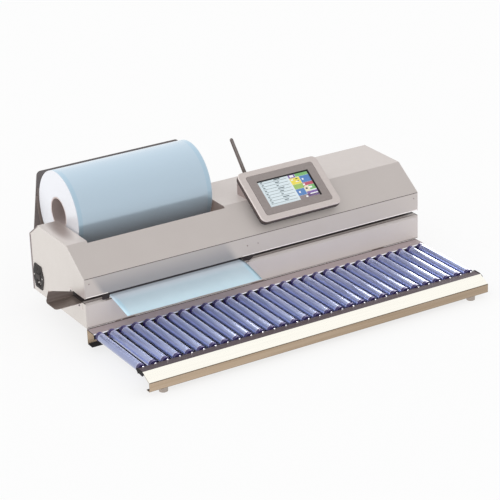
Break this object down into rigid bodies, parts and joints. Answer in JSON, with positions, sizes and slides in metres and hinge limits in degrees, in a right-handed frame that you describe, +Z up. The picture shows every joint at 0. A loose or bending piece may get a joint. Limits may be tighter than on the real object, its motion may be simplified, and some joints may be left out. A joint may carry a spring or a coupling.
{
  "type": "medical pouch sealer with reel and roller table",
  "caption": "Bench-top heat sealer for medical pouches: sheet-metal housing with a side feed slit, film reel in a rear cradle, tilted touch display and a front roller table.",
  "frame": {"origin": "on the floor, under the middle of the whole outline", "axes": "+X along the machine from the feed end to the exit end, +Y from the roller table to the rear, +Z up"},
  "size_m": [1.073, 0.697, 0.3994],
  "materials": {
    "housing_paint": "satin powder coat",
    "stainless": "polished sheet",
    "dark_steel": "satin",
    "axle_steel": "bright",
    "roller_plastic": "gloss",
    "pouch_film": "gloss film",
    "cardboard": "matt board",
    "display_plastic": "fine texture",
    "display_bezel": "satin",
    "screen_glass": "gloss",
    "black_plastic": "satin",
    "rubber": "matt"
  },
  "bodies": {
    "machine": {"end_wall_left": "housing_paint", "end_wall_right": "housing_paint", "base_pan": "housing_paint", "front_fascia": "housing_paint", "top_cover": "housing_paint", "rear_cover": "housing_paint", "slit_back": "dark_steel", "machine_feet": "rubber", "well_walls": "dark_steel", "roll_cradle": "dark_steel", "roll_back_plate": "dark_steel", "film_web": "pouch_film", "power_inlet": "black_plastic", "inlet_pins": "axle_steel", "power_switch": "black_plastic", "infeed_chute": "stainless", "display_bracket": "display_plastic", "display_frame": "display_plastic", "display_bezel": "display_bezel", "display_screen": "screen_glass", "antenna": "black_plastic", "table_rear_rail": "stainless", "table_front_rail": "stainless", "table_cross_bars": "stainless", "table_pan": "dark_steel", "table_brackets": "stainless", "table_feet": "rubber", "roller_axles": "axle_steel"},
    "reel": {"pouch_roll": "pouch_film", "roll_core": "cardboard"},
    "roller_01": {"roller_01": "roller_plastic"},
    "roller_02": {"roller_02": "roller_plastic"},
    "roller_03": {"roller_03": "roller_plastic"},
    "roller_04": {"roller_04": "roller_plastic"},
    "roller_05": {"roller_05": "roller_plastic"},
    "roller_06": {"roller_06": "roller_plastic"},
    "roller_07": {"roller_07": "roller_plastic"},
    "roller_08": {"roller_08": "roller_plastic"},
    "roller_09": {"roller_09": "roller_plastic"},
    "roller_10": {"roller_10": "roller_plastic"},
    "roller_11": {"roller_11": "roller_plastic"},
    "roller_12": {"roller_12": "roller_plastic"},
    "roller_13": {"roller_13": "roller_plastic"},
    "roller_14": {"roller_14": "roller_plastic"},
    "roller_15": {"roller_15": "roller_plastic"},
    "roller_16": {"roller_16": "roller_plastic"},
    "roller_17": {"roller_17": "roller_plastic"},
    "roller_18": {"roller_18": "roller_plastic"},
    "roller_19": {"roller_19": "roller_plastic"},
    "roller_20": {"roller_20": "roller_plastic"},
    "roller_21": {"roller_21": "roller_plastic"},
    "roller_22": {"roller_22": "roller_plastic"},
    "roller_23": {"roller_23": "roller_plastic"},
    "roller_24": {"roller_24": "roller_plastic"},
    "roller_25": {"roller_25": "roller_plastic"},
    "roller_26": {"roller_26": "roller_plastic"},
    "roller_27": {"roller_27": "roller_plastic"},
    "roller_28": {"roller_28": "roller_plastic"},
    "roller_29": {"roller_29": "roller_plastic"},
    "roller_30": {"roller_30": "roller_plastic"}
  },
  "joints": [
    {"name": "reel_spin", "type": "hinge", "parent": "machine", "child": "reel", "pos_m": [-0.2085, 0.2225, 0.265], "axis": [1, 0, 0], "continuous": true},
    {"name": "roller_01_spin", "type": "hinge", "parent": "machine", "child": "roller_01", "pos_m": [-0.44962, -0.1775, 0.047], "axis": [0, 1, 0], "continuous": true},
    {"name": "roller_02_spin", "type": "hinge", "parent": "machine", "child": "roller_02", "pos_m": [-0.41637, -0.1775, 0.047], "axis": [0, 1, 0], "continuous": true},
    {"name": "roller_03_spin", "type": "hinge", "parent": "machine", "child": "roller_03", "pos_m": [-0.38312, -0.1775, 0.047], "axis": [0, 1, 0], "continuous": true},
    {"name": "roller_04_spin", "type": "hinge", "parent": "machine", "child": "roller_04", "pos_m": [-0.34987, -0.1775, 0.047], "axis": [0, 1, 0], "continuous": true},
    {"name": "roller_05_spin", "type": "hinge", "parent": "machine", "child": "roller_05", "pos_m": [-0.31662, -0.1775, 0.047], "axis": [0, 1, 0], "continuous": true},
    {"name": "roller_06_spin", "type": "hinge", "parent": "machine", "child": "roller_06", "pos_m": [-0.28337, -0.1775, 0.047], "axis": [0, 1, 0], "continuous": true},
    {"name": "roller_07_spin", "type": "hinge", "parent": "machine", "child": "roller_07", "pos_m": [-0.25012, -0.1775, 0.047], "axis": [0, 1, 0], "continuous": true},
    {"name": "roller_08_spin", "type": "hinge", "parent": "machine", "child": "roller_08", "pos_m": [-0.21688, -0.1775, 0.047], "axis": [0, 1, 0], "continuous": true},
    {"name": "roller_09_spin", "type": "hinge", "parent": "machine", "child": "roller_09", "pos_m": [-0.18363, -0.1775, 0.047], "axis": [0, 1, 0], "continuous": true},
    {"name": "roller_10_spin", "type": "hinge", "parent": "machine", "child": "roller_10", "pos_m": [-0.15038, -0.1775, 0.047], "axis": [0, 1, 0], "continuous": true},
    {"name": "roller_11_spin", "type": "hinge", "parent": "machine", "child": "roller_11", "pos_m": [-0.11713, -0.1775, 0.047], "axis": [0, 1, 0], "continuous": true},
    {"name": "roller_12_spin", "type": "hinge", "parent": "machine", "child": "roller_12", "pos_m": [-0.08388, -0.1775, 0.047], "axis": [0, 1, 0], "continuous": true},
    {"name": "roller_13_spin", "type": "hinge", "parent": "machine", "child": "roller_13", "pos_m": [-0.05063, -0.1775, 0.047], "axis": [0, 1, 0], "continuous": true},
    {"name": "roller_14_spin", "type": "hinge", "parent": "machine", "child": "roller_14", "pos_m": [-0.01738, -0.1775, 0.047], "axis": [0, 1, 0], "continuous": true},
    {"name": "roller_15_spin", "type": "hinge", "parent": "machine", "child": "roller_15", "pos_m": [0.01588, -0.1775, 0.047], "axis": [0, 1, 0], "continuous": true},
    {"name": "roller_16_spin", "type": "hinge", "parent": "machine", "child": "roller_16", "pos_m": [0.04913, -0.1775, 0.047], "axis": [0, 1, 0], "continuous": true},
    {"name": "roller_17_spin", "type": "hinge", "parent": "machine", "child": "roller_17", "pos_m": [0.08238, -0.1775, 0.047], "axis": [0, 1, 0], "continuous": true},
    {"name": "roller_18_spin", "type": "hinge", "parent": "machine", "child": "roller_18", "pos_m": [0.11563, -0.1775, 0.047], "axis": [0, 1, 0], "continuous": true},
    {"name": "roller_19_spin", "type": "hinge", "parent": "machine", "child": "roller_19", "pos_m": [0.14888, -0.1775, 0.047], "axis": [0, 1, 0], "continuous": true},
    {"name": "roller_20_spin", "type": "hinge", "parent": "machine", "child": "roller_20", "pos_m": [0.18213, -0.1775, 0.047], "axis": [0, 1, 0], "continuous": true},
    {"name": "roller_21_spin", "type": "hinge", "parent": "machine", "child": "roller_21", "pos_m": [0.21538, -0.1775, 0.047], "axis": [0, 1, 0], "continuous": true},
    {"name": "roller_22_spin", "type": "hinge", "parent": "machine", "child": "roller_22", "pos_m": [0.24863, -0.1775, 0.047], "axis": [0, 1, 0], "continuous": true},
    {"name": "roller_23_spin", "type": "hinge", "parent": "machine", "child": "roller_23", "pos_m": [0.28187, -0.1775, 0.047], "axis": [0, 1, 0], "continuous": true},
    {"name": "roller_24_spin", "type": "hinge", "parent": "machine", "child": "roller_24", "pos_m": [0.31512, -0.1775, 0.047], "axis": [0, 1, 0], "continuous": true},
    {"name": "roller_25_spin", "type": "hinge", "parent": "machine", "child": "roller_25", "pos_m": [0.34837, -0.1775, 0.047], "axis": [0, 1, 0], "continuous": true},
    {"name": "roller_26_spin", "type": "hinge", "parent": "machine", "child": "roller_26", "pos_m": [0.38162, -0.1775, 0.047], "axis": [0, 1, 0], "continuous": true},
    {"name": "roller_27_spin", "type": "hinge", "parent": "machine", "child": "roller_27", "pos_m": [0.41487, -0.1775, 0.047], "axis": [0, 1, 0], "continuous": true},
    {"name": "roller_28_spin", "type": "hinge", "parent": "machine", "child": "roller_28", "pos_m": [0.44812, -0.1775, 0.047], "axis": [0, 1, 0], "continuous": true},
    {"name": "roller_29_spin", "type": "hinge", "parent": "machine", "child": "roller_29", "pos_m": [0.48137, -0.1775, 0.047], "axis": [0, 1, 0], "continuous": true},
    {"name": "roller_30_spin", "type": "hinge", "parent": "machine", "child": "roller_30", "pos_m": [0.51462, -0.1775, 0.047], "axis": [0, 1, 0], "continuous": true}
  ]
}
